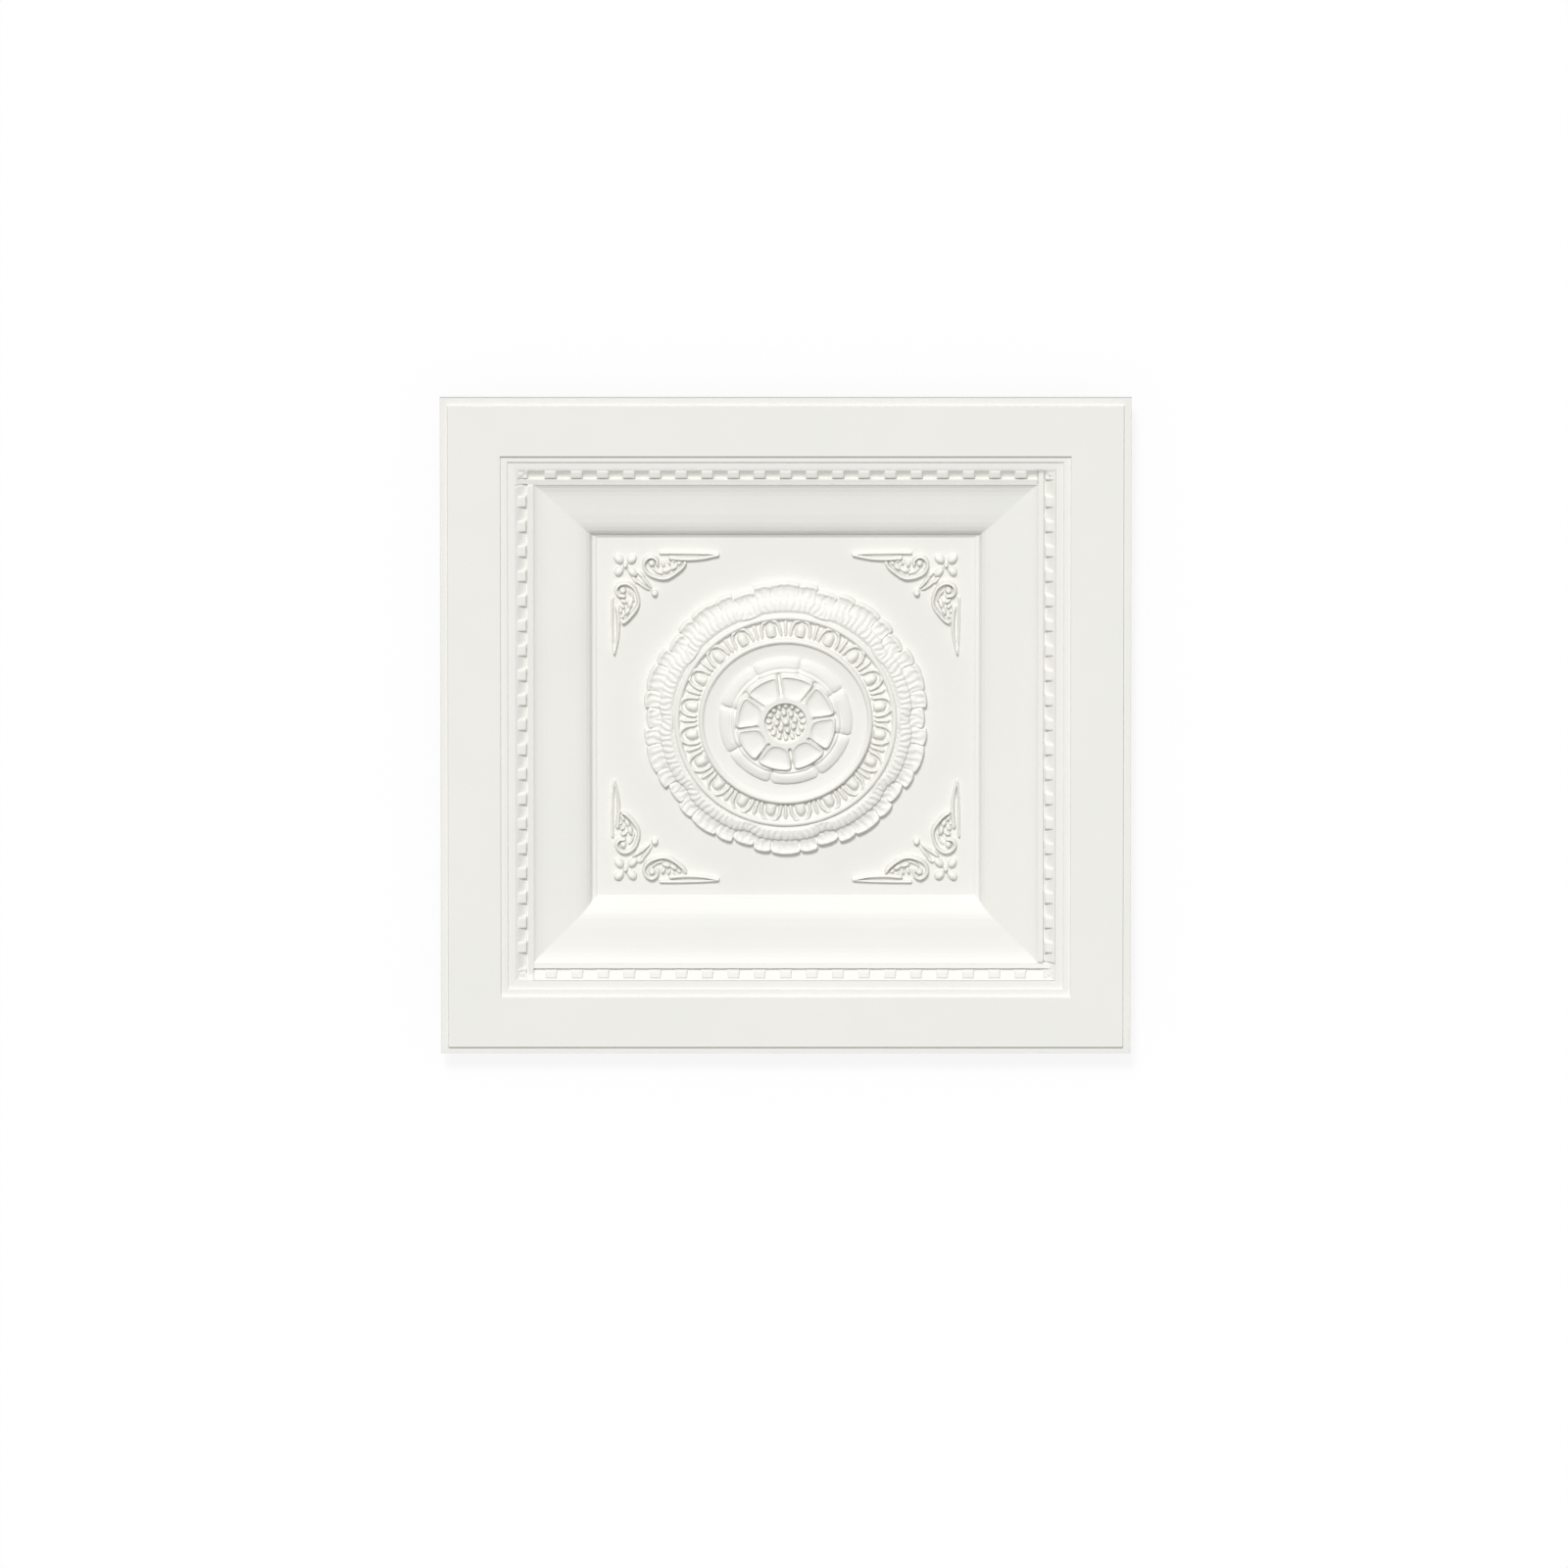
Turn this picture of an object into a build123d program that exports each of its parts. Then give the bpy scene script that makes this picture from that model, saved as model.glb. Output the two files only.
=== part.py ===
from build123d import *
import os
from math import cos, radians, sin, tan

# Coffered ceiling tile, moulded in one piece from polystyrene foam. Millimetres.
# It lies face up: the back of its flat panel is on z = 0, the origin is the middle of that back,
# and the rim is in the air. A name with "half" is a half-width of a square about the middle,
# and one with "top", "floor" or "face" is a height above the back.

# Tile and rim
tile_side = 595.0
tile_height = 35.0
rim_under = 28.0
ledge_top = 32.0
ledge_half = 291.8
face_half = 290.6

# Steps from the frame face down to the dentil course
opening_half = 245.8
step_outer_half = 244.6
step_inner_half = 239.6
step_top = 32.2
fillet_outer_half = 238.5
fillet_inner_half = 233.2
fillet_outer_top = 30.3
fillet_inner_top = 30.0
dentil_floor_outer_half = 231.6
dentil_floor_inner_half = 222.4
dentil_floor = 24.6

# Ogee: a low edge beside the dentils, a hollow arc, a gentle slope, a round arc and a steep lip
ogee_edge_half = 221.8
ogee_upper_half = 218.0
ogee_edge_top = 26.8
ogee_shoulder_half = 215.6
ogee_shoulder_top = 24.4
ogee_hollow_half = 200.0
ogee_hollow_top = 20.1
ogee_round_half = 187.0
ogee_round_top = 18.7
ogee_lower_half = 168.6
ogee_lower_top = 12.0
border_outer_half = 167.4
border_inner_half = 163.4
border_top = 6.4
panel_half = 162.8
panel_face = 5.0

# Back of the coffer, which follows the face about one wall thickness behind it
back_frame_half = 246.0
back_course_half = 241.0
back_ogee_half = 222.0
back_course_floor = 19.4
back_middle_half = 196.0
back_middle_floor = 14.0
back_panel_half = 172.5

# Dentils: small square blocks on a centre line, with one in each corner. Their tops slope inwards.
dentil_line_half = 227.2
dentils_per_side = 20
dentil_pitch = 22.5
dentil_length = 10.8
dentil_width = 8.0
dentil_top = 31.4
dentil_draft = 6.0
slope_outer_half = 233.0
slope_inner_half = 219.0
slope_outer_top = 30.8
slope_inner_top = 26.9

# Rosette: outer ring, egg band, inner ring and dish, as radii and heights
outer_ring_outer = 99.4
outer_ring_inner = 94.4
outer_ring_top = 18.2
inner_ring_outer = 76.0
inner_ring_inner = 71.2
inner_ring_top = 20.6
ring_slope = 1.3
egg_floor = 15.6
dish_rim_top = 17.4
dish_floor_radius = 56.0
dish_floor = 15.2

# Ten leaves round the rings: the shares of the circle are half angles in degrees
leaf_count = 10
leaf_start = 90.0
leaf_root = 96.0
leaf_disc_radius = 112.0
leaf_edge_top = 11.0
leaf_top = 14.6
leaf_draft = 30.0
lobe_blunt = 6.0
lobes = (
    (0.0, 6.0, 123.6),
    (9.75, 3.75, 122.6),
    (-9.75, 3.75, 122.6),
    (18.0, 4.5, 119.6),
)
upper_leaf_radius = 111.0
upper_leaf_half_angle = 14.5
upper_leaf_top = 16.4
upper_leaf_draft = 40.0

# Eggs between the two rings, each in two drafted steps
egg_count = 20
egg_circle = 85.3
egg_length = 14.6
egg_width = 10.4
egg_sides = 8
egg_waist_top = 17.6
egg_waist_draft = 20.0
egg_crown_share = 0.8
egg_crown_top = 19.4
egg_crown_draft = 45.0

# Two flowers of eight petals
petal_count = 8
petal_half_angle = 21.8
petal_blunt = 6.0
back_petal_start = 8.5
back_petal_root = 34.0
back_petal_radius = 57.5
back_petal_top = 20.0
back_petal_draft = 22.0
front_petal_start = 31.0
front_petal_root = 14.0
front_petal_root_top = 20.0
front_petal_radius = 43.6
front_petal_crown_radius = 38.5
front_petal_crown_top = 24.6
front_petal_tip_top = 22.4
front_petal_draft = 8.0
cup_root = 20.0
cup_radius = 38.6
cup_half_angle = 14.5
cup_floor = 21.4
cup_draft = 20.0

# Button: a low dome of two drafted steps, with rings of small bumps
button_sides = 24
button_radius = 17.0
button_edge_top = 18.6
button_shoulder_top = 20.8
button_draft = 35.0
button_crown_radius = 14.6
button_crown_top = 22.2
button_crown_draft = 72.0
bump_radius = 2.5
bump_sides = 5
bump_draft = 22.0
bump_height = 1.7
bump_rings = ((0.0, 1, 22.2), (6.4, 6, 21.8), (12.2, 12, 21.0))

# Corner ornaments, in their own corner's coordinates: x and y run along the panel's two edges.
# One leg is drawn and mirrored about the diagonal.
ornament_half = 149.0
ornament_draft = 14.0
scroll_top = 10.2
scroll_band = 3.4
scroll_arcs = (
    ((38.4, 11.6), (34.6, 3.6), (28.6, 9.6)),
    ((28.7, 8.6), (31.4, 18.6), (40.0, 23.4)),
    ((39.0, 23.1), (52.0, 21.8), (64.0, 11.6)),
)
curl_eye = (35.2, 10.6)
curl_eye_radius = 2.6
bar_top = 8.8
bar_points = ((42.0, 1.2), (88.0, 1.0), (80.0, 6.6), (66.0, 8.2), (42.0, 5.4))
bud_place = (49.0, 14.0)
bud_size = (16.8, 6.8)
bud_turn = -14.0
corner_leaf_top = 9.2
corner_leaf_place = (24.0, 24.0)
corner_leaf_size = (31.0, 7.6)
leaf_bead_place = (35.0, 35.0)
leaf_bead_radius = 2.6
corner_lobe_place = (6.2, 6.2)
side_lobe_place = (16.0, 5.6)
side_lobe_turn = 8.0
lobe_size = (10.8, 6.0)

# Depth to which a raised form is let into what carries it
seat = 1.5


def blunt_leaf(root, radius, half_angle, blunt):
    """Outline along +X of a petal or a leaf's lobe: a slice of the circle with a blunt round tip."""
    spread = tan(radians(half_angle))
    shoulder = radius - blunt
    half_width = shoulder * spread
    near_side = [
        (root, -root * spread),
        (shoulder, -half_width),
        (radius - blunt / 3, -half_width * 0.62),
        (radius, -half_width * 0.2),
    ]
    return near_side + [(x, -y) for x, y in reversed(near_side)]


def lozenge(length, width):
    """Outline of a long hexagon along X, for small leaves and buds."""
    return [
        (-length / 2, 0),
        (-length / 5, -width / 2),
        (length / 5, -width / 2),
        (length / 2, 0),
        (length / 5, width / 2),
        (-length / 5, width / 2),
    ]


def oval(length, width, sides):
    """Outline of an oval with the given number of straight sides."""
    turns = [radians(360 * (i + 0.5) / sides) for i in range(sides)]
    return [(length / 2 * cos(turn), width / 2 * sin(turn)) for turn in turns]


# Space in front of the tile, which leaves the steps, dentil floor, ogee and panel
ogee_slope = (ogee_hollow_half - ogee_round_half, ogee_hollow_top - ogee_round_top)
with BuildPart() as coffer_mouth:
    for section_plane, run_mode in ((Plane.XZ, Mode.ADD), (Plane.YZ, Mode.INTERSECT)):
        with BuildSketch(section_plane):
            with BuildLine():
                Polyline(
                    (0, tile_height + seat),
                    (opening_half, tile_height + seat),
                    (opening_half, tile_height),
                    (step_outer_half, step_top),
                    (step_inner_half, step_top),
                    (fillet_outer_half, fillet_outer_top),
                    (fillet_inner_half, fillet_inner_top),
                    (dentil_floor_outer_half, dentil_floor),
                    (dentil_floor_inner_half, dentil_floor),
                    (ogee_edge_half, ogee_edge_top),
                    (ogee_upper_half, ogee_edge_top),
                    (ogee_shoulder_half, ogee_shoulder_top),
                )
                TangentArc(
                    (ogee_hollow_half, ogee_hollow_top),
                    (ogee_shoulder_half, ogee_shoulder_top),
                    tangent=ogee_slope,
                )
                Line((ogee_hollow_half, ogee_hollow_top), (ogee_round_half, ogee_round_top))
                TangentArc(
                    (ogee_round_half, ogee_round_top),
                    (ogee_lower_half, ogee_lower_top),
                    tangent=(-ogee_slope[0], -ogee_slope[1]),
                )
                Polyline(
                    (ogee_lower_half, ogee_lower_top),
                    (border_outer_half, border_top),
                    (border_inner_half, border_top),
                    (panel_half, panel_face),
                    (0, panel_face),
                )
                mirror(about=Plane.YZ)
            make_face()
        extrude(amount=tile_side / 2, both=True, mode=run_mode)

# Space over the dentils, whose floor slopes down towards the ogee
with BuildPart() as dentil_slope:
    for section_plane, run_mode in ((Plane.XZ, Mode.ADD), (Plane.YZ, Mode.INTERSECT)):
        with BuildSketch(section_plane):
            with BuildLine():
                Polyline(
                    (0, tile_height),
                    (slope_outer_half, tile_height),
                    (slope_outer_half, slope_outer_top),
                    (slope_inner_half, slope_inner_top),
                    (0, slope_inner_top),
                )
                mirror(about=Plane.YZ)
            make_face()
        extrude(amount=tile_side / 2, both=True, mode=run_mode)

# Dentil course: one side of the square, turned to all four, and its tops cut to their slope
dentil_places = [(-dentil_line_half, dentil_line_half)] + [
    (dentil_pitch * (i - dentils_per_side / 2), dentil_line_half) for i in range(1, dentils_per_side)
]
with BuildPart() as dentil_course:
    with BuildSketch(Plane.XY.offset(dentil_floor - seat)):
        with PolarLocations(0, 4):
            with Locations(*dentil_places):
                Rectangle(dentil_length, dentil_width)
    extrude(amount=dentil_top - dentil_floor + seat, taper=dentil_draft)
    add(dentil_slope, mode=Mode.SUBTRACT)

# Turned body of the rosette: two rings with the egg band between them, and the dish inside
with BuildPart() as rosette_body:
    with BuildSketch(Plane.XZ):
        with BuildLine():
            Polyline(
                (0, dish_floor),
                (0, panel_face - seat),
                (outer_ring_outer, panel_face - seat),
                (outer_ring_outer, leaf_top),
                (outer_ring_outer - ring_slope, outer_ring_top),
                (outer_ring_inner + ring_slope, outer_ring_top),
                (outer_ring_inner, egg_floor),
                (inner_ring_outer, egg_floor),
                (inner_ring_outer - ring_slope, inner_ring_top),
                (inner_ring_inner + ring_slope, inner_ring_top),
                (inner_ring_inner, dish_rim_top),
                (dish_floor_radius, dish_floor),
                close=True,
            )
        make_face()
    revolve(axis=Axis.Z)

# Leaf band: the lobes' common edge, a drafted top for each lobe, and ten upper leaves
with BuildPart() as leaf_band:
    with BuildSketch(Plane.XY.offset(panel_face - seat)):
        Circle(leaf_disc_radius)
        for lobe_turn, lobe_half_angle, lobe_radius in lobes:
            with PolarLocations(0, leaf_count, start_angle=leaf_start + lobe_turn):
                Polygon(*blunt_leaf(leaf_root, lobe_radius, lobe_half_angle, lobe_blunt), align=None)
    extrude(amount=leaf_edge_top - panel_face + seat)
    for lobe_turn, lobe_half_angle, lobe_radius in lobes:
        with BuildSketch(Plane.XY.offset(leaf_edge_top)):
            with PolarLocations(0, leaf_count, start_angle=leaf_start + lobe_turn):
                Polygon(*blunt_leaf(leaf_root, lobe_radius, lobe_half_angle, lobe_blunt), align=None)
        extrude(amount=leaf_top - leaf_edge_top, taper=leaf_draft)
    with BuildSketch(Plane.XY.offset(leaf_edge_top)):
        with PolarLocations(0, leaf_count, start_angle=leaf_start):
            Polygon(
                *blunt_leaf(leaf_root, upper_leaf_radius, upper_leaf_half_angle, lobe_blunt),
                align=None,
            )
    extrude(amount=upper_leaf_top - leaf_edge_top, taper=upper_leaf_draft)

# Egg course
with BuildPart() as egg_course:
    egg_steps = (
        (1.0, egg_floor - seat, egg_waist_top, egg_waist_draft),
        (egg_crown_share, egg_waist_top, egg_crown_top, egg_crown_draft),
    )
    for step_share, step_floor, step_crown, step_draft in egg_steps:
        with BuildSketch(Plane.XY.offset(step_floor)):
            with PolarLocations(egg_circle, egg_count, start_angle=180 / egg_count):
                Polygon(*oval(egg_length * step_share, egg_width * step_share, egg_sides), align=None)
        extrude(amount=step_crown - step_floor, taper=step_draft)

# Back flower: eight broad petals
with BuildPart() as back_flower:
    with BuildSketch(Plane.XY.offset(dish_floor - seat)):
        with PolarLocations(0, petal_count, start_angle=back_petal_start):
            Polygon(
                *blunt_leaf(back_petal_root, back_petal_radius, petal_half_angle, petal_blunt),
                align=None,
            )
    extrude(amount=back_petal_top - dish_floor + seat, taper=back_petal_draft)

# Front flower: eight petals that rise outwards, each hollowed inside a raised border
with BuildPart() as front_flower:
    with BuildSketch(Plane.XY.offset(dish_floor - seat)):
        with PolarLocations(0, petal_count, start_angle=front_petal_start):
            Polygon(
                *blunt_leaf(front_petal_root, front_petal_radius, petal_half_angle, petal_blunt),
                align=None,
            )
    extrude(amount=front_petal_crown_top - dish_floor + seat, taper=front_petal_draft)
    with BuildSketch(Plane.XY.offset(cup_floor)):
        with PolarLocations(0, petal_count, start_angle=front_petal_start):
            Polygon(*blunt_leaf(cup_root, cup_radius, cup_half_angle, petal_blunt), align=None)
    extrude(amount=front_petal_crown_top - cup_floor + seat, taper=-cup_draft, mode=Mode.SUBTRACT)
    with BuildSketch(Plane.XZ):
        with BuildLine():
            Polyline(
                (0, 0),
                (front_petal_radius, 0),
                (front_petal_radius, front_petal_tip_top),
                (front_petal_crown_radius, front_petal_crown_top),
                (front_petal_root, front_petal_root_top),
                (0, front_petal_root_top),
                close=True,
            )
        make_face()
    revolve(axis=Axis.Z, mode=Mode.INTERSECT)

# Button: a dome in two steps, with a bump in the middle and rings of bumps about it
with BuildPart() as button:
    with BuildSketch(Plane.XY.offset(dish_floor - seat)):
        RegularPolygon(button_radius, button_sides)
    extrude(amount=button_edge_top - dish_floor + seat)
    with BuildSketch(Plane.XY.offset(button_edge_top)):
        RegularPolygon(button_radius, button_sides)
    extrude(amount=button_shoulder_top - button_edge_top, taper=button_draft)
    with BuildSketch(Plane.XY.offset(button_shoulder_top)):
        RegularPolygon(button_crown_radius, button_sides)
    extrude(amount=button_crown_top - button_shoulder_top, taper=button_crown_draft)
    for bump_circle, bump_count, bump_floor in bump_rings:
        with BuildSketch(Plane.XY.offset(bump_floor - seat)):
            with PolarLocations(bump_circle, bump_count):
                RegularPolygon(bump_radius, bump_sides)
        extrude(amount=bump_height + seat, taper=bump_draft)

# One leg of a corner ornament: a scroll with its curled head, a pointed bar, a bud and a lobe
ornament_plane = Plane.XY.offset(panel_face - seat)
with BuildPart() as ornament_leg:
    with BuildSketch(ornament_plane):
        with Locations(curl_eye):
            RegularPolygon(curl_eye_radius, bump_sides)
        for arc_points in scroll_arcs:
            with BuildLine() as scroll_line:
                ThreePointArc(*arc_points)
            SlotArc(scroll_line.edge(), height=scroll_band)
    extrude(amount=scroll_top - panel_face + seat)
    with BuildSketch(ornament_plane):
        Polygon(*bar_points, align=None)
        with Locations(Location((*bud_place, 0), bud_turn)):
            Polygon(*lozenge(*bud_size), align=None)
        with Locations(Location((*side_lobe_place, 0), side_lobe_turn)):
            Polygon(*lozenge(*lobe_size), align=None)
    extrude(amount=bar_top - panel_face + seat, taper=ornament_draft)

# Corner ornament: two legs, a lobe in the corner and a leaf with a bead at its tip between them
with BuildPart() as corner_ornament:
    add(ornament_leg)
    mirror(about=Plane((0, 0, 0), z_dir=(1, -1, 0)))
    with BuildSketch(ornament_plane):
        with Locations(Location((*corner_lobe_place, 0), 45)):
            Polygon(*lozenge(*lobe_size), align=None)
        with Locations(Location((*corner_leaf_place, 0), 45)):
            Polygon(*lozenge(*corner_leaf_size), align=None)
    extrude(amount=corner_leaf_top - panel_face + seat, taper=ornament_draft)
    with BuildSketch(ornament_plane):
        with Locations(leaf_bead_place):
            RegularPolygon(leaf_bead_radius, bump_sides)
    extrude(amount=scroll_top - panel_face + seat, taper=ornament_draft)

# The tile: a square shell with its rim, the space in front cut out and the ornament fused on
with BuildPart() as ceiling_tile:
    for section_plane, run_mode in ((Plane.XZ, Mode.ADD), (Plane.YZ, Mode.INTERSECT)):
        with BuildSketch(section_plane):
            with BuildLine():
                Polyline(
                    (0, tile_height),
                    (face_half, tile_height),
                    (ledge_half, ledge_top),
                    (tile_side / 2, ledge_top),
                    (tile_side / 2, rim_under),
                    (back_frame_half, rim_under),
                    (back_course_half, back_course_floor),
                    (back_ogee_half, back_course_floor),
                )
                TangentArc(
                    (back_middle_half, back_middle_floor),
                    (back_ogee_half, back_course_floor),
                    tangent=ogee_slope,
                )
                TangentArc(
                    (back_middle_half, back_middle_floor),
                    (back_panel_half, 0),
                    tangent=(-ogee_slope[0], -ogee_slope[1]),
                )
                Line((back_panel_half, 0), (0, 0))
                mirror(about=Plane.YZ)
            make_face()
        extrude(amount=tile_side / 2, both=True, mode=run_mode)
    add(coffer_mouth, mode=Mode.SUBTRACT)
    for raised_form in (
        dentil_course,
        rosette_body,
        leaf_band,
        egg_course,
        back_flower,
        front_flower,
        button,
    ):
        add(raised_form)
    with PolarLocations(0, 4):
        with Locations((-ornament_half, -ornament_half)):
            add(corner_ornament)

ceiling_tile.part.label = "ceiling_tile"
os.makedirs("parts", exist_ok=True)
export_step(ceiling_tile.part, "parts/ceiling_tile.step")
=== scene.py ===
import math
import bpy
import numpy as np
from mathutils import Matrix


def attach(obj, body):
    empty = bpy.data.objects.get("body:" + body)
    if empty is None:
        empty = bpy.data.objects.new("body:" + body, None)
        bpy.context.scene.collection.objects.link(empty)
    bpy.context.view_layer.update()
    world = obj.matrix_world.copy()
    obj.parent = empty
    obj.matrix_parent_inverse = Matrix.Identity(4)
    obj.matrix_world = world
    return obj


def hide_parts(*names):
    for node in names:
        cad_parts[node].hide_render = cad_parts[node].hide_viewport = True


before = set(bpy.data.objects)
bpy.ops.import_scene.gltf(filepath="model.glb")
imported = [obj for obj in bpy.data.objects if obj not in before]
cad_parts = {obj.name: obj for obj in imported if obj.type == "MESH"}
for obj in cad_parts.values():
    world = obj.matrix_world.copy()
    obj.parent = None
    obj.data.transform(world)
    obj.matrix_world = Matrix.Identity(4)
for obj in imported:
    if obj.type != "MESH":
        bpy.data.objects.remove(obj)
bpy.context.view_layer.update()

# The tile lies on its back, face up, on a pale floor. Shapes are written in millimetres, like the
# part's source, and put into the scene in metres. The whole face is one moulded foam surface, made
# here as relief fields that are finer than the solid: z is the height above the flat back. "Half"
# is a half-width of a square about the middle, and r is a radius from it.
# A table of two rows holds places in the first and the heights or depths there in the second.

MM = 0.001
PANEL = 5.0                   # face of the flat panel
UNDER_PANEL = PANEL - 0.5     # where a relief field has no form
WHITE = (1, 1, 1, 1)
QUARTER_TURNS = ((1, 0), (0, 1), (-1, 0), (0, -1))    # cosine and sine


# Helpers

def add_node(nodes, kind, **values):
    """A new shader node, with a constant on each named input."""
    node = nodes.new(kind)
    for socket, value in values.items():
        node.inputs[socket].default_value = value
    return node


def foam_object(name, mesh):
    """Puts a smooth foam mesh into the scene as a piece of the tile."""
    mesh.polygons.foreach_set("use_smooth", np.ones(len(mesh.polygons), bool))
    mesh.materials.append(foam)
    piece = bpy.data.objects.new(name, mesh)
    bpy.context.scene.collection.objects.link(piece)
    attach(piece, "root")
    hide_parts("ceiling_tile")
    return piece


def new_piece(name, points, quads, last_face=()):
    """A foam piece from points in millimetres, quads and perhaps one face with more sides."""
    mesh = bpy.data.meshes.new(name)
    points = np.asarray(points, float) * MM
    corners = np.concatenate((np.ravel(quads), last_face)).astype(np.int32)
    starts = np.arange(0, np.size(quads) + min(len(last_face), 1), 4, dtype=np.int32)
    mesh.vertices.add(len(points))
    mesh.vertices.foreach_set("co", points.ravel())
    mesh.loops.add(len(corners))
    mesh.loops.foreach_set("vertex_index", corners)
    mesh.polygons.add(len(starts))
    mesh.polygons.foreach_set("loop_start", starts)
    mesh.update(calc_edges=True)
    mesh.validate()
    return foam_object(name, mesh)


def grid_quads(index):
    """Quads between the neighbours in a grid of point numbers."""
    return np.stack((index[:-1, :-1], index[:-1, 1:], index[1:, 1:], index[1:, :-1]), -1)


def smooth_step(low, high, value):
    """0 at low, 1 at high, level beyond both, and a smooth rise between them."""
    share = np.clip((value - low) / (high - low), 0, 1)
    return share * share * (3 - 2 * share)


def smooth_min(a, b, width):
    """The smaller of a and b, rounded where they differ by less than width."""
    share = np.clip(0.5 + 0.5 * (b - a) / width, 0, 1)
    return b * (1 - share) + a * share - width * share * (1 - share)


def bump(distance, half_width):
    """1 on a line, falling smoothly to 0 at half_width from it."""
    share = np.clip(np.abs(distance) / half_width, 0, 1)
    return (1 - share * share) ** 2


def dome(distance, half_width):
    """A round ridge: 1 in the middle, and steep at half_width, where it ends."""
    share = np.clip(np.abs(distance) / half_width, 0, 1)
    return np.sqrt(1 - share * share)


def fold(value, pitch):
    """Distance or angle from the nearest multiple of pitch, with its sign."""
    return (value + pitch / 2) % pitch - pitch / 2


# Camera: far above the face, and tilted towards +Y, which is the upper edge in the picture

CAMERA_TILT = math.radians(18.56)
CAMERA_DISTANCE = 47.0
SENSOR_WIDTH = 36.0
FRAME_WIDTH = 1.3514          # metres that the picture spans at the tile
AIM = np.array((-0.0014, -0.0514, 0.035))

camera_data = bpy.data.cameras.new("camera")
camera_data.sensor_width = SENSOR_WIDTH
camera_data.lens = SENSOR_WIDTH * CAMERA_DISTANCE / FRAME_WIDTH
camera_data.clip_start = 1.0
camera_data.clip_end = 200.0
camera = bpy.data.objects.new("camera", camera_data)
to_camera = np.array((0, math.sin(CAMERA_TILT), math.cos(CAMERA_TILT)))
camera.location = AIM + CAMERA_DISTANCE * to_camera
camera.rotation_euler = (-CAMERA_TILT, 0, 0)
bpy.context.scene.collection.objects.link(camera)
bpy.context.scene.camera = camera
bpy.context.scene.view_settings.view_transform = "Standard"


# Light: a soft sky that the camera sees as white, and one broad lamp from the upper edge's side

SKY_STRENGTH = 0.43
KEY_STRENGTH = 2.27
KEY_SOFTNESS = math.radians(12)
KEY_WAY = np.array((-0.1, 0.78, 1.0))    # from the tile towards the lamp

world = bpy.data.worlds.new("soft_sky")
bpy.context.scene.world = world
world.use_nodes = True
nodes, links = world.node_tree.nodes, world.node_tree.links
nodes.clear()
sky = add_node(nodes, "ShaderNodeBackground", Color=WHITE, Strength=SKY_STRENGTH)
backdrop = add_node(nodes, "ShaderNodeBackground", Color=WHITE, Strength=1.0)
path = add_node(nodes, "ShaderNodeLightPath")
blend = add_node(nodes, "ShaderNodeMixShader")
out = add_node(nodes, "ShaderNodeOutputWorld")
links.new(path.outputs["Is Camera Ray"], blend.inputs[0])
links.new(sky.outputs[0], blend.inputs[1])
links.new(backdrop.outputs[0], blend.inputs[2])
links.new(blend.outputs[0], out.inputs["Surface"])

key_data = bpy.data.lights.new("key", "SUN")
key_data.energy = KEY_STRENGTH
key_data.angle = KEY_SOFTNESS
key = bpy.data.objects.new("key", key_data)
key.rotation_mode = "YXZ"
key.rotation_euler = (math.asin(-KEY_WAY[1] / np.linalg.norm(KEY_WAY)),
                      math.atan2(KEY_WAY[0], KEY_WAY[2]), 0)
bpy.context.scene.collection.objects.link(key)


# Floor: nearly white to the camera, and dark enough to throw little light back at the tile

FLOOR_REACH = 8.0
FLOOR_GREY = 0.12
FLOOR_LIFT = 0.88

floor_mesh = bpy.data.meshes.new("floor")
floor_mesh.from_pydata([(-FLOOR_REACH, -FLOOR_REACH, 0), (FLOOR_REACH, -FLOOR_REACH, 0),
                        (FLOOR_REACH, FLOOR_REACH, 0), (-FLOOR_REACH, FLOOR_REACH, 0)],
                       [], [(0, 1, 2, 3)])
floor = bpy.data.objects.new("floor", floor_mesh)
bpy.context.scene.collection.objects.link(floor)
floor_look = bpy.data.materials.new("floor")
floor_look.use_nodes = True
nodes, links = floor_look.node_tree.nodes, floor_look.node_tree.links
nodes.clear()
matt = add_node(nodes, "ShaderNodeBsdfDiffuse", Color=(FLOOR_GREY, FLOOR_GREY, FLOOR_GREY, 1))
lift = add_node(nodes, "ShaderNodeEmission", Color=WHITE)
path = add_node(nodes, "ShaderNodeLightPath")
scale = add_node(nodes, "ShaderNodeMath")
scale.operation = "MULTIPLY"
scale.inputs[1].default_value = FLOOR_LIFT
both = add_node(nodes, "ShaderNodeAddShader")
out = add_node(nodes, "ShaderNodeOutputMaterial")
links.new(path.outputs["Is Camera Ray"], scale.inputs[0])
links.new(scale.outputs[0], lift.inputs["Strength"])
links.new(matt.outputs[0], both.inputs[0])
links.new(lift.outputs[0], both.inputs[1])
links.new(both.outputs[0], out.inputs["Surface"])
floor_mesh.materials.append(floor_look)


# Material: matt moulded foam skin, warm white, with faint mottling and the grain of fused beads

FOAM_COOL = (0.835, 0.835, 0.795, 1)
FOAM_WARM = (0.875, 0.862, 0.822, 1)

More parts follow.
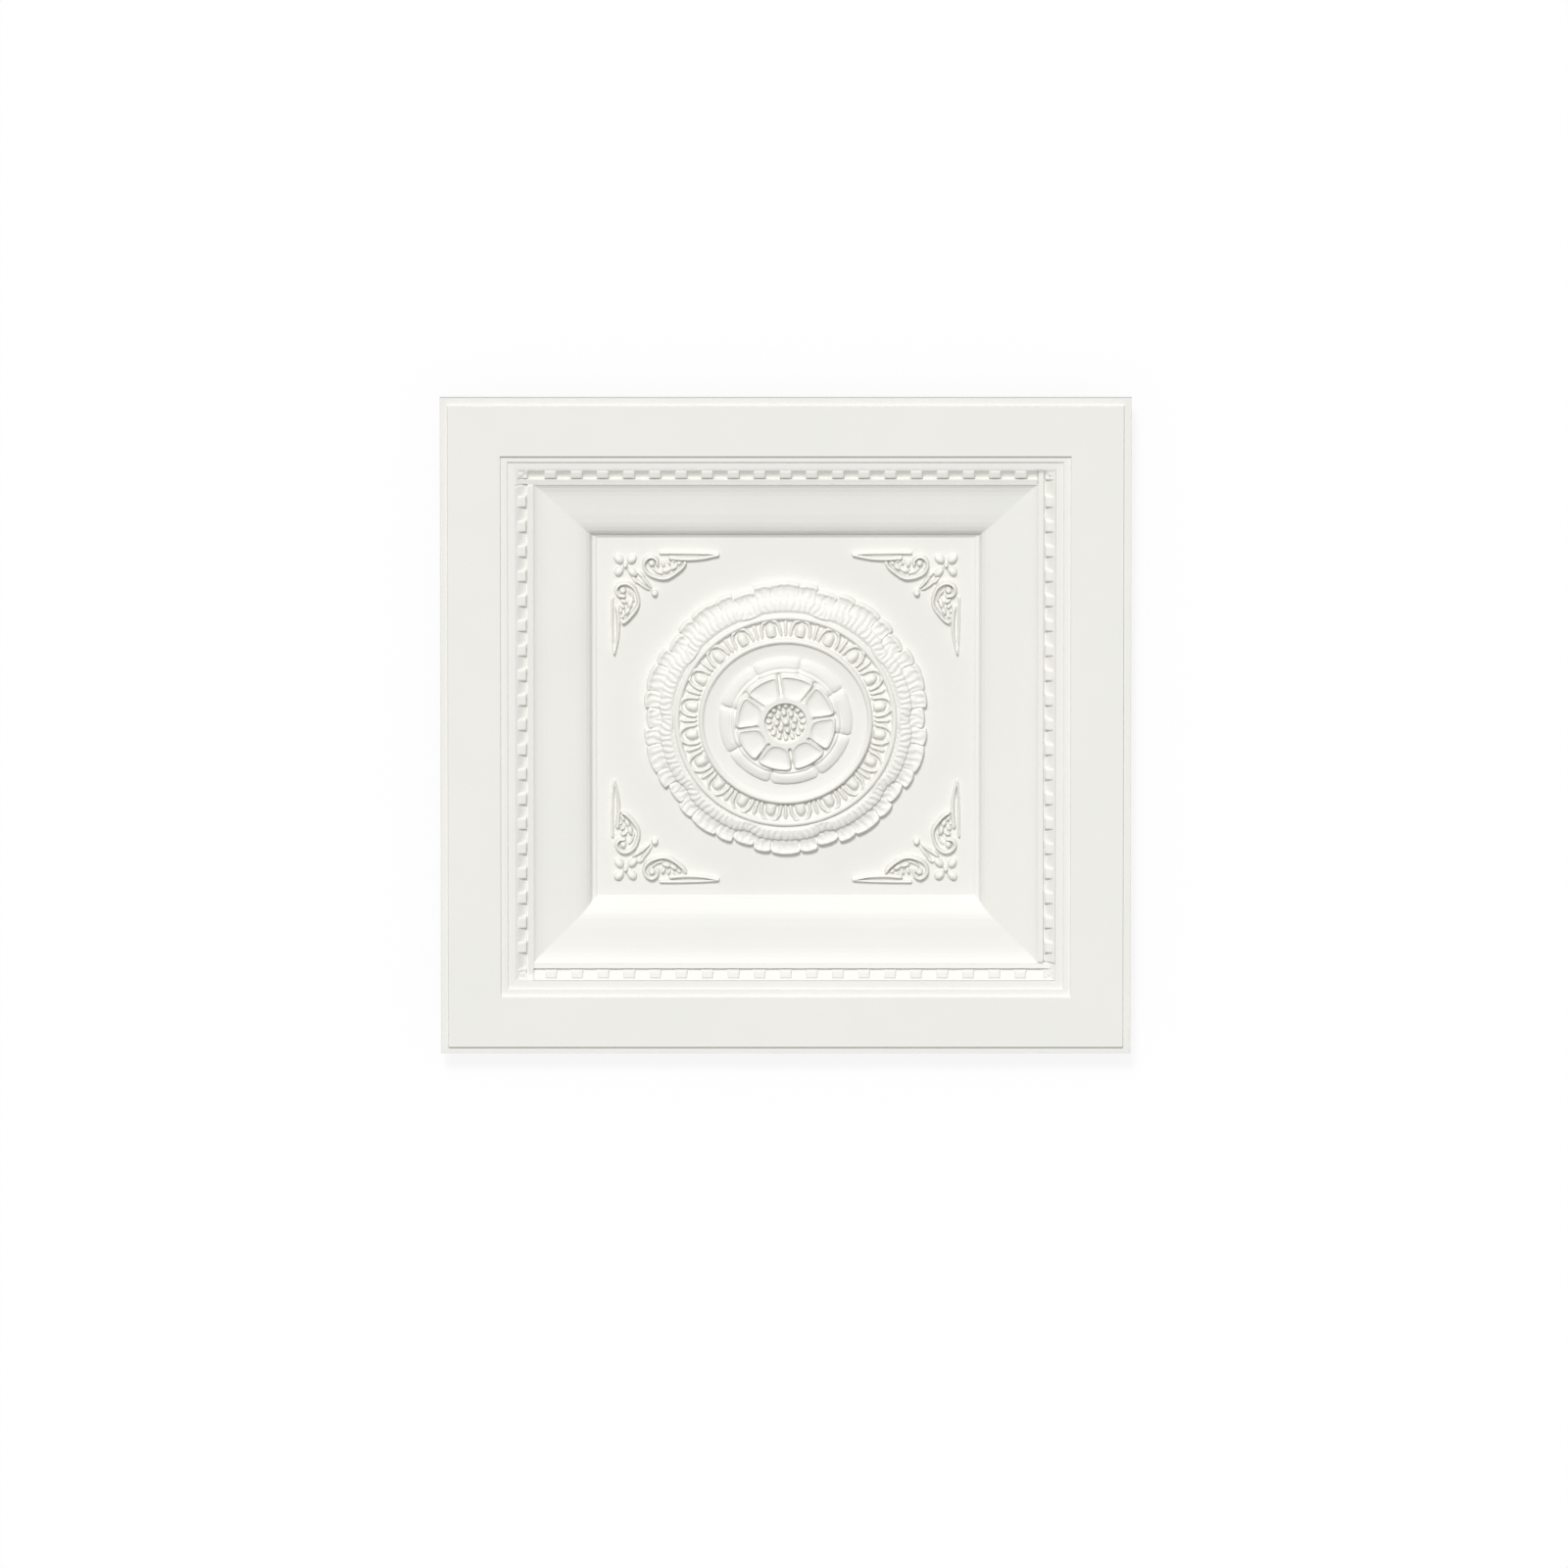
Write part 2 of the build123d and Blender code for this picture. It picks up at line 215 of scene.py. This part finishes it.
foam = bpy.data.materials.new("polystyrene_foam")
foam.use_nodes = True
nodes, links = foam.node_tree.nodes, foam.node_tree.links
skin = nodes["Principled BSDF"]
skin.inputs["Roughness"].default_value = 0.62
skin.inputs["Specular IOR Level"].default_value = 0.25
place = add_node(nodes, "ShaderNodeTexCoord")
mottle = add_node(nodes, "ShaderNodeTexNoise", Scale=14.0, Detail=3.0)
tint = nodes.new("ShaderNodeMix")
tint.data_type = "RGBA"
tint.inputs["A"].default_value = FOAM_COOL
tint.inputs["B"].default_value = FOAM_WARM
fused_beads = add_node(nodes, "ShaderNodeTexVoronoi", Scale=420.0)
grain = add_node(nodes, "ShaderNodeTexNoise", Scale=900.0, Detail=2.0)
height_sum = add_node(nodes, "ShaderNodeMath")
height_sum.operation = "ADD"
skin_bump = add_node(nodes, "ShaderNodeBump", Strength=0.12, Distance=0.0003)
for texture in (mottle, fused_beads, grain):
    links.new(place.outputs["Object"], texture.inputs["Vector"])
links.new(mottle.outputs["Fac"], tint.inputs["Factor"])
links.new(tint.outputs["Result"], skin.inputs["Base Color"])
links.new(fused_beads.outputs["Distance"], height_sum.inputs[0])
links.new(grain.outputs["Fac"], height_sum.inputs[1])
links.new(height_sum.outputs[0], skin_bump.inputs["Height"])
links.new(skin_bump.outputs["Normal"], skin.inputs["Normal"])


# Shell: the tile's square section as corners of (half, z, rounding radius), from the panel's middle
# over the face to the rim, and back under it

SECTION = (
    (0, PANEL, 0),            # panel
    (162.4, PANEL, 1.2),
    (163.8, 6.0, 1.2),        # steep lip of the ogee
    (166.6, 6.6, 2),
    (169.0, 12.0, 3),
    (171.8, 14.5, 3),         # round arc
    (175.8, 16.4, 4),
    (180.0, 17.6, 5),
    (187.3, 18.8, 8),         # gentle slope
    (197.3, 19.8, 8),
    (205.3, 21.0, 6),         # hollow arc
    (209.3, 21.9, 4),
    (213.3, 23.3, 2),
    (215.6, 24.6, 1),
    (217.8, 26.8, 0.4),       # edge beside the dentils
    (218.2, 22.4, 0),         # bed under the dentil strips
    (231.6, 22.4, 0),
    (232.6, 29.5, 0.4),       # lower step
    (239.1, 29.8, 0.3),
    (239.5, 31.7, 0.4),       # upper step
    (245.4, 31.7, 0.3),
    (245.8, 35.0, 0.3),       # frame face
    (290.9, 35.0, 0.25),
    (291.3, 32.0, 0.3),       # ledge and rim
    (297.5, 32.0, 0.4),
    (297.5, 28.0, 0.4),
    (246.0, 28.0, 1.5),       # back
    (241.0, 19.4, 1.5),
    (222.0, 19.4, 3),
    (209.0, 15.6, 8),
    (196.0, 14.0, 8),
    (184.0, 9.4, 8),
    (172.5, 0.0, 1.0),
    (0, 0, 0),
)
ARC_POINTS = 5
ARC_EDGE_SHARE = 0.45         # the most of an edge that one rounding takes
STRAIGHT_HALF_TURN = math.radians(88.5)
MITRE_SPREAD = (1.2, 3.0, 8.0, 30.0, 80.0)    # extra points beside each mitre
EVEN_NORMALS_WEIGHT = 80


def round_corners(corners):
    """Profile points from corners given as (half, z, radius), each corner replaced by an arc."""
    points = []
    for i, (half, z, radius) in enumerate(corners):
        here = np.array((half, z), float)
        if radius == 0 or i in (0, len(corners) - 1):
            points.append(here)
            continue
        before = np.array(corners[i - 1][:2], float) - here
        after = np.array(corners[i + 1][:2], float) - here
        to_before, to_after = before / np.linalg.norm(before), after / np.linalg.norm(after)
        half_turn = math.acos(np.clip(to_before @ to_after, -1, 1)) / 2
        if half_turn > STRAIGHT_HALF_TURN:
            points.append(here)
            continue
        reach = min(radius / math.tan(half_turn), ARC_EDGE_SHARE * np.linalg.norm(before),
                    ARC_EDGE_SHARE * np.linalg.norm(after))
        start, end = here + to_before * reach, here + to_after * reach
        for t in np.linspace(0, 1, ARC_POINTS):
            points.append((1 - t) ** 2 * start + 2 * t * (1 - t) * here + t * t * end)
    return points


def square_sweep(profile):
    """Sweeps a profile of (half, z) round a square: its points, and a ring of numbers for each
    profile point, which has one number where the half-width is 0."""
    points, rings = [], []
    for half, z in profile:
        if half == 0:
            rings.append([len(points)])
            points.append((0, 0, z))
            continue
        beside = {way * (half - back) for way in (-1, 1) for back in MITRE_SPREAD if back < half}
        along = sorted({-half, 0.0, half} | beside)
        side = [(x, -half) for x in along[:-1]]
        ring = []
        for turn in range(4):
            for x, y in side:
                ring.append(len(points))
                points.append((x, y, z))
            side = [(-y, x) for x, y in side]
        rings.append(ring)
    return points, rings


shell_points, shell_rings = square_sweep(round_corners(SECTION))
triangles, quads = [], []
for low, high in zip(shell_rings, shell_rings[1:]):
    next_low, next_high = low[1:] + low[:1], high[1:] + high[:1]
    if len(low) == 1:
        triangles += [(low[0], high[i], next_high[i]) for i in range(len(high))]
    elif len(high) == 1:
        triangles += [(next_low[i], low[i], high[0]) for i in range(len(low))]
    else:
        quads += zip(low, high, next_high, next_low)
shell_mesh = bpy.data.meshes.new("tile_shell")
shell_mesh.from_pydata([tuple(np.array(p) * MM) for p in shell_points], [], triangles + quads)
shell_mesh.validate()
shell = foam_object("tile_shell", shell_mesh)
even_normals = shell.modifiers.new("even_normals", "WEIGHTED_NORMAL")
even_normals.weight = EVEN_NORMALS_WEIGHT


# Relief: closed pieces from height fields, with a skirt down into what carries them

def relief_piece(name, x, y, z, base, ring=False):
    """A closed piece whose top is the grid (x, y, z) and whose underside is flat at base.
    In a ring the grid's last column meets its first."""
    index = np.arange(x.size).reshape(x.shape)
    if ring:
        index = np.hstack((index, index[:, :1]))
        rims = [index[0, :-1], index[-1, :0:-1]]
    else:
        rims = [np.concatenate((index[0, :-1], index[:-1, -1], index[-1, :0:-1], index[:0:-1, 0]))]
    points = [np.stack((x, y, z), -1).reshape(-1, 3)]
    quads = [grid_quads(index).reshape(-1, 4)]
    unders = []
    for rim in rims:
        under = points[0][rim].copy()
        under[:, 2] = base
        number = sum(len(p) for p in points) + np.arange(len(rim))
        points.append(under)
        unders.append(number)
        quads.append(np.stack((rim, number, np.roll(number, -1), np.roll(rim, -1)), -1))
    last_face = () if ring else unders[0][::-1]
    if ring:
        inner, outer = unders[0], np.roll(unders[1], -1)[::-1]
        quads.append(np.stack((inner, outer, np.roll(outer, -1), np.roll(inner, -1)), -1))
    return new_piece(name, np.vstack(points), np.vstack(quads), last_face)


# Dentil course: four strips, each with one corner block. A wall is given as its foot and its top
# edge, and heights are above the strips' floor.

DENTIL_PITCH = 22.5
DENTIL_LINE = 227.1           # half-width of the blocks' middle line
CORNER_BLOCK = 227.2          # middle of a corner block, both ways
CORNER_FROM = 215.9           # half-width from which a block is the corner block
STRIP_INNER, STRIP_OUTER = 217.5, 232.5
STRIP_FLOOR = 22.8
STRIP_BASE = 21.8
BLOCK_END_WALL, BLOCK_SIDE_WALL = (5.2, 5.0), (3.9, 3.7)
BLOCK_END_SHOULDER, BLOCK_SIDE_SHOULDER = (4.4, 5.0), (3.1, 3.7)
SHOULDER_SHARE = 0.12
BLOCK_TOP = ((219.0, 233.0), (26.8, 29.9))    # above the back, not above the floor
DIMPLE_R, DIMPLE_HALF, DIMPLE_DEPTH = 2.9, 1.5, 2.4
COVE = ((222.3, 225.5, 231.4, 232.2), (0, 1.6, 6.4, 6.8))
LEDGE = ((STRIP_INNER, 222.0, 222.15), (3.2, 4.2, 0))


def dentil_field(x, y):
    """Height of the band of small blocks, for points on its upper side (y above 0)."""
    corner = np.abs(x) > CORNER_FROM
    along = np.where(corner, np.abs(x) - CORNER_BLOCK, fold(x, DENTIL_PITCH))
    across = y - DENTIL_LINE
    block = np.minimum(smooth_step(*BLOCK_END_WALL, np.abs(along)),
                       smooth_step(*BLOCK_SIDE_WALL, np.abs(across)))
    shoulder = np.maximum(smooth_step(*BLOCK_END_SHOULDER, np.abs(along)),
                          smooth_step(*BLOCK_SIDE_SHOULDER, np.abs(across)))
    block = block - SHOULDER_SHARE * shoulder
    half = np.maximum(np.abs(x), y)
    top = np.interp(half, *BLOCK_TOP) - STRIP_FLOOR
    dimple = DIMPLE_DEPTH * bump(np.hypot(along, across) - DIMPLE_R, DIMPLE_HALF)
    top = top - np.where(corner, dimple, 0)
    cove = np.interp(half, *COVE)
    ledge = np.interp(y, *LEDGE)
    return STRIP_FLOOR + np.maximum.reduce((top * block, cove, ledge))


# The grid has close pairs of lines at the blocks' steep sides, so that their edges stay crisp
half_lines = np.array((0, 1.5, 3.0, 4.4, 4.9, 5.0, 5.04, 5.16, 5.2, 5.3))
block_lines = np.concatenate((-half_lines[:0:-1], half_lines))
pitch_lines = np.concatenate((block_lines, (7.5, 10.0, 11.25, 12.5, 15.0)))
course_lines = np.concatenate([DENTIL_PITCH * i + pitch_lines for i in range(-10, 10)])
in_course = (course_lines > -STRIP_INNER - 1) & (course_lines < STRIP_INNER)
strip_x = np.unique(np.concatenate((
    (-STRIP_OUTER, STRIP_INNER), block_lines - CORNER_BLOCK, course_lines[in_course])))
strip_y = np.array((
    STRIP_INNER, 218.5, 219.7, 220.9, 221.8, 222.0, 222.02, 222.13, 222.15, 222.3,
    223.1, 223.2, 223.24, 223.36, 223.4, 224.0, 225.5, 227.1, 228.7, 230.2,
    230.7, 230.8, 230.84, 230.96, 231.0, 231.1, 231.5, 232.4))
grid_x, grid_y = np.meshgrid(strip_x, strip_y)
grid_z = dentil_field(grid_x, grid_y)
for number, (cos_turn, sin_turn) in enumerate(QUARTER_TURNS, 1):
    relief_piece(f"dentils_{number}", grid_x * cos_turn - grid_y * sin_turn,
                 grid_x * sin_turn + grid_y * cos_turn, grid_z, STRIP_BASE)


# Rosette: three rings of relief that meet in the groove outside the outer bead and on the inner bead

ROSETTE_BASE = 3.0
GROOVE_R = 97.2
OUTER_BEAD_R = 93.8
INNER_BEAD_R = 72.8
BEAD_HALF = 2.4


def bead(r, circle, seat, rise):
    """Height of a round bead on a circle, and 0 beside it."""
    on_bead = np.abs(r - circle) < BEAD_HALF
    return np.where(on_bead, seat + rise * dome(r - circle, BEAD_HALF), 0)


def beads(r):
    """Height of the two beads that border the egg band."""
    return np.maximum(bead(r, OUTER_BEAD_R, 15.0, 3.2), bead(r, INNER_BEAD_R, 16.2, 4.4))


LEAF_PITCH = 36
LEAF_START = 90
# Lobes from a leaf's middle outwards, as (angle where it ends, its middle, its half angle, radius of
# its tip). The last one is shared with the next leaf.
LEAF_LOBES = ((6.0, 0, 6.0, 124.2), (13.5, 9.75, 3.75, 123.2), (18.0, 18.0, 4.5, 120.2))
LOBE_NOTCH = 2.6
FLUTE_PITCH = 3.6
FLUTE_DEPTH = 0.75
SEAM_HALF, SEAM_DEPTH = 1.5, 2.0
UPPER_LEAF_R = 109.9
# Heights of the lower leaves above the panel, and of the upper ones, by the distance in from the edge
LOWER_LEAF = ((0, 0.5, 1.2, 2.2, 3.4, 5.0, 8.0, 11.0, 14.0),
              (0, 5.0, 7.0, 7.5, 6.8, 5.9, 5.6, 6.2, 7.0))
UPPER_LEAF = ((0, 0.5, 1.2, 4.0, 7.0, 9.4, 10.6, 12.6),
              (11.0, 13.6, 15.0, 16.4, 17.0, 17.2, 16.2, 14.4))


def leaf_field(r, angle):
    """Height of the leaf band, outside the groove."""
    ends, middles, half_angles, tips = np.array(LEAF_LOBES).T
    turn = fold(angle - LEAF_START, LEAF_PITCH)
    side = np.abs(turn)
    lobe = np.digitize(side, ends[:-1])
    lobe_turn, lobe_half = np.abs(side - middles[lobe]), half_angles[lobe]
    inside = tips[lobe] - LOBE_NOTCH * (1 - dome(lobe_turn, lobe_half + 0.1)) - r
    # The flutes fan out from the groove, with a slight wave
    spread = 0.74 + 0.26 * (r - GROOVE_R) / 26
    wave = 0.5 * np.sin(0.4 * r + 0.6 * side)
    fan = fold(turn / spread + wave, FLUTE_PITCH)
    flute = 0.5 - 0.5 * np.cos(np.radians(fan * (360 / FLUTE_PITCH)))
    seam = bump(np.radians(lobe_turn - lobe_half) * r, SEAM_HALF) * smooth_step(108, 114, r)
    lower = (PANEL + np.interp(inside, *LOWER_LEAF) - SEAM_DEPTH * seam * smooth_step(0, 1.5, inside)
             - FLUTE_DEPTH * flute * smooth_step(1.0, 3.0, inside))
    upper_edge = UPPER_LEAF_R - 0.8 * (1 - dome(fan, 1.85)) - 3.0 * smooth_step(11, 18, side)
    within = upper_edge - r
    upper = np.interp(within, *UPPER_LEAF)
    upper = upper - FLUTE_DEPTH * flute * smooth_step(0, 1.5, within) * smooth_step(98.0, 100.5, r)
    height = np.where(within > 0, np.maximum(lower, upper), lower)
    return np.where(inside > 0, height, PANEL - 0.6)


EGG_PITCH = 18
EGG_START = 9
EGG_MIDDLE_R = 82.2           # an egg's sides are straight inside this radius, its end round outside
EGG_STRETCH = 0.8
EGG_HALF, EGG_RISE = 4.6, 6.4
COLLAR_OFF, COLLAR_HALF, COLLAR_RISE = 3.6, 1.5, 5.0    # how far outside its egg a collar runs
DART_HALF, DART_RISE = 1.6, 4.8
EGG_BAND_FLOOR = ((75.0, 77.0, 80.0, 86.0, 89.0, 91.5, 95.9, GROOVE_R),
                  (13.6, 12.2, 12.8, 12.8, 12.2, 13.4, 14.4, 14.4))


def egg_field(r, angle):
    """Height of the egg band, from the inner bead to the groove outside the outer bead."""
    bed = np.interp(r, *EGG_BAND_FLOOR)
    across = np.radians(fold(angle - EGG_START, EGG_PITCH)) * r
    outside = np.hypot(across, np.maximum(r - EGG_MIDDLE_R, 0) * EGG_STRETCH) - EGG_HALF
    ends = smooth_step(75.4, 78.2, r)
    egg = bed + EGG_RISE * dome(outside + EGG_HALF, EGG_HALF) * ends
    collar = (bed + COLLAR_RISE * dome(outside - COLLAR_OFF, COLLAR_HALF) * ends
              * smooth_step(92.6, 90.6, r))
    dart_across = np.radians(fold(angle, EGG_PITCH)) * r
    dart = bed + DART_RISE * dome(dart_across, DART_HALF) * ends * smooth_step(91.6, 88.0, r)
    return np.maximum.reduce((egg, collar, dart, beads(r)))


DISH = ((0, 56, 62, 68, 70.6), (15.2, 15.2, 15.5, 16.3, 17.0))
PETAL_PITCH = 45
BACK_PETAL_START, BACK_PETAL_R = 8.5, 57.8
BACK_PETAL = ((-0.2, 0.2, 0.8, 2.5, 6.0, 9.0, 13.0, 15.0),
              (12, 16.2, 17.4, 18.7, 19.7, 19.6, 19.0, 15.6))
FRONT_PETAL_START, FRONT_PETAL_R = 31, 43.6
FRONT_PETAL = ((-0.2, 0.3, 0.9, 1.8), (12, 21.0, 23.6, 24.4))
CUP_INNER_R, CUP_OUTER_R = 23.0, 40.9
CUP_DEPTH = ((-0.6, 0.2, 1.4, 3.5, 8.0), (0, 1.7, 2.7, 3.4, 3.8))
BUTTON_R = 18.4
BUTTON_FLOOR = 14.6
# Bumps of the button as (count, circle, first angle, half length, half width, top)
BUTTON_BUMPS = (
    (16, 14.6, 0, 3.0, 2.2, 21.6),
    (8, 8.0, 11, 2.7, 2.6, 22.6),
    (1, 0.0, 0, 3.6, 3.6, 23.4),
)


def petal_gap(r, angle, start):
    """Distance from the nearest line between two petals."""
    turn = fold(angle - start, PETAL_PITCH)
    return np.sin(np.radians(PETAL_PITCH / 2 - np.abs(turn))) * r


def flower_field(r, angle):
    """Height of everything inside the inner bead: the dish, two rounds of petals and the button."""
    dish = np.interp(r, *DISH)
    inside = smooth_min(BACK_PETAL_R - r, petal_gap(r, angle, BACK_PETAL_START), 5.0)
    # A crease and a low welt follow the front petals round the back ones
    back = np.interp(inside, *BACK_PETAL) - 0.8 * bump(r - 48.0, 1.4) + 1.2 * bump(r - 45.7, 1.5)
    gap = petal_gap(r, angle, FRONT_PETAL_START) - 0.8
    inside = smooth_min(FRONT_PETAL_R - r, gap + 4.0 * smooth_step(25, 21, r), 4.0)
    cup = smooth_min(smooth_min(CUP_OUTER_R - r, gap - 1.9, 3.0), r - CUP_INNER_R, 7.0)
    front = np.interp(inside, *FRONT_PETAL) - np.interp(cup, *CUP_DEPTH)
    button = np.full(r.shape, BUTTON_FLOOR)
    for count, circle, start, half_long, half_wide, top in BUTTON_BUMPS:
        turn = np.radians(fold(angle - start, 360 / count))
        away = np.hypot((r * np.cos(turn) - circle) / half_long, r * np.sin(turn) / half_wide)
        bump_top = BUTTON_FLOOR + (top - BUTTON_FLOOR) * dome(away, 1)
        button = np.maximum(button, np.where(away < 1, bump_top, 0))
    flowers = np.maximum.reduce((dish, beads(r), back, front))
    return np.where(r < BUTTON_R, button, flowers)


def polar_piece(name, field, radii, count):
    """A ring of relief about the tile's middle, with count columns all round."""
    angles = -np.arange(count) * 360.0 / count
    r, angle = np.meshgrid(radii, angles, indexing="ij")
    x, y = r * np.cos(np.radians(angle)), r * np.sin(np.radians(angle))
    return relief_piece(name, x, y, field(r, angle), ROSETTE_BASE, ring=True)


polar_piece("rosette_leaves", leaf_field, np.concatenate((
    np.arange(GROOVE_R, 118, 0.5), np.arange(118, 124.7, 0.3))), 1440)
polar_piece("rosette_eggs", egg_field, np.append(
    np.arange(INNER_BEAD_R, GROOVE_R - 0.1, 0.4), GROOVE_R), 1200)
polar_piece("rosette_flowers", flower_field, np.concatenate((
    [0.02], np.arange(0.4, 20, 0.4), np.arange(20, 40, 0.7), np.arange(40, 50, 0.45),
    np.arange(50, INNER_BEAD_R - 0.1, 0.7), [INNER_BEAD_R])), 700)


# Corner ornaments: a runs along the panel's edge from the ornament's outer corner, b away from the
# edge. One leg is drawn, and the other is the same with a and b exchanged.

ORNAMENT_CORNER = 149.0       # from the tile's middle to that outer corner, both ways
ORNAMENT_BASE = 3.5
ORNAMENT_GRID = np.arange(-2.4, 93.1, 0.56)
# Ridges as (path, width at the start, width at the end, rise): the scroll with its curled head, a
# vein inside it, and the two edges of the pointed bar
LEG_RIDGES = (
    (((38.6, 9.8), (37.8, 5.6), (33.8, 2.9), (29.4, 4.6), (26.8, 9.0), (27.6, 14.0), (31.6, 18.6),
      (38.2, 21.4), (44.6, 22.2), (50.0, 20.4), (55.8, 16.2), (60.4, 12.0), (62.4, 8.6)),
     1.6, 1.5, 6.6),
    (((34.4, 13.6), (38.0, 16.6), (43.0, 18.0)), 0.9, 0.9, 4.0),
    (((41.0, -0.4), (58.0, -0.4), (76.0, 0.0), (91.0, 0.8)), 1.4, 0.8, 4.4),
    (((50.0, 4.0), (62.0, 5.0), (76.0, 4.4), (91.0, 1.4)), 2.0, 0.9, 5.4),
)
# Lobes as (centre a, centre b, half length, half width, turn, rise)
LEG_LOBES = (
    (33.6, 8.8, 3.1, 3.1, 0, 6.6),
    (46.2, 15.0, 4.6, 2.4, -12, 5.8),
    (52.6, 12.6, 3.8, 2.1, -30, 5.4),
    (57.0, 8.9, 2.6, 1.5, -35, 4.6),
    (43.4, 9.6, 3.4, 1.8, 65, 5.2),
    (48.2, 8.4, 2.8, 1.5, 60, 4.8),
    (52.6, 7.0, 1.6, 1.2, 40, 4.2),
    (16.4, 5.4, 4.9, 3.7, -38, 6.0),
    (24.6, 19.6, 4.6, 1.7, 42, 4.8),
)
# Lobes on the diagonal between the legs, with their centres along it and across it
DIAGONAL_LOBES = (
    (7.4, 0, 5.2, 3.8, 0, 6.0),
    (15.4, 0, 2.0, 2.0, 0, 6.4),
    (24.2, 0, 5.4, 3.4, 0, 6.2),
    (37.6, 2.3, 9.6, 1.4, -7, 5.2),
    (37.6, -2.3, 9.6, 1.4, 7, 5.2),
    (51.0, 0, 3.1, 3.1, 0, 6.8),
)


def curve(points, steps=8):
    """A smooth path through the points."""
    points = np.asarray(points, float)
    ends = np.vstack((2 * points[0] - points[1], points, 2 * points[-1] - points[-2]))
    path = []
    for i in range(1, len(ends) - 2):
        p0, p1, p2, p3 = ends[i - 1:i + 3]
        for t in np.arange(steps) / steps:
            path.append(0.5 * (2 * p1 + (p2 - p0) * t + (2 * p0 - 5 * p1 + 4 * p2 - p3) * t ** 2
                               + (3 * p1 - p0 - 3 * p2 + p3) * t ** 3))
    path.append(points[-1])
    return np.array(path)


def near_path(a, b, path):
    """Distance in the plane from each point to a path, and the share of its length there."""
    lengths = np.linalg.norm(np.diff(path, axis=0), axis=1)
    total = lengths.sum()
    best = np.full(a.shape, np.inf)
    share = np.zeros(a.shape)
    done = 0.0
    for start, end, length in zip(path, path[1:], lengths):
        way = (end - start) / length
        t = np.clip((a - start[0]) * way[0] + (b - start[1]) * way[1], 0, length)
        far = np.hypot(a - start[0] - way[0] * t, b - start[1] - way[1] * t)
        nearer = far < best
        best = np.where(nearer, far, best)
        share = np.where(nearer, (done + t) / total, share)
        done += length
    return best, share


def raised(distance, half_width, rise):
    """Height of a domed form that stands on the panel, and just under the panel beside it."""
    return np.where(distance < half_width, PANEL + rise * dome(distance, half_width), UNDER_PANEL)


def lobe_field(a, b, lobes):
    """Height of a set of domed lobes."""
    height = np.full(a.shape, UNDER_PANEL)
    for centre_a, centre_b, half_long, half_wide, turn, rise in lobes:
        cos_turn, sin_turn = math.cos(math.radians(turn)), math.sin(math.radians(turn))
        along = (a - centre_a) * cos_turn + (b - centre_b) * sin_turn
        across = -(a - centre_a) * sin_turn + (b - centre_b) * cos_turn
        far = np.hypot(along / half_long, across / half_wide)
        height = np.maximum(height, raised(far, 1, rise))
    return height


def leg_field(a, b):
    """Height of one leg of a corner ornament."""
    height = lobe_field(a, b, LEG_LOBES)
    for path, start_width, end_width, rise in LEG_RIDGES:
        far, share = near_path(a, b, curve(path))
        width = start_width + (end_width - start_width) * share
        height = np.maximum(height, raised(far, width, rise))
    return height


def ornament_field(a, b):
    """Height of a whole corner ornament: two legs, and the lobes on the diagonal between them."""
    along, across = (a + b) / math.sqrt(2), (b - a) / math.sqrt(2)
    return np.maximum.reduce((leg_field(a, b), leg_field(b, a),
                              lobe_field(along, across, DIAGONAL_LOBES)))


# Only the grid cells that touch a raised form are kept. They get an underside and walls round it.
grid_a, grid_b = np.meshgrid(ORNAMENT_GRID, ORNAMENT_GRID)
grid_z = ornament_field(grid_a, grid_b)
cells = grid_quads(np.arange(grid_a.size).reshape(grid_a.shape))
cells = cells[(grid_z.ravel()[cells] > UNDER_PANEL + 1e-6).any(-1)]
used, cells = np.unique(cells, return_inverse=True)
count = len(used)
cells = cells.reshape(-1, 4)
sides = np.vstack([cells[:, [i, (i + 1) % 4]] for i in range(4)])
inner_side = np.isin(sides[:, 0] * count + sides[:, 1], sides[:, 1] * count + sides[:, 0])
start, end = sides[~inner_side].T
walls = np.column_stack((start, start + count, end + count, end))
ornament_quads = np.vstack((cells, cells[:, ::-1] + count, walls))
x, y = grid_a.ravel()[used] - ORNAMENT_CORNER, grid_b.ravel()[used] - ORNAMENT_CORNER
for number, (cos_turn, sin_turn) in enumerate(QUARTER_TURNS, 1):
    top = np.column_stack((x * cos_turn - y * sin_turn, x * sin_turn + y * cos_turn,
                           grid_z.ravel()[used]))
    under = top.copy()
    under[:, 2] = ORNAMENT_BASE
    new_piece(f"corner_ornament_{number}", np.vstack((top, under)), ornament_quads)
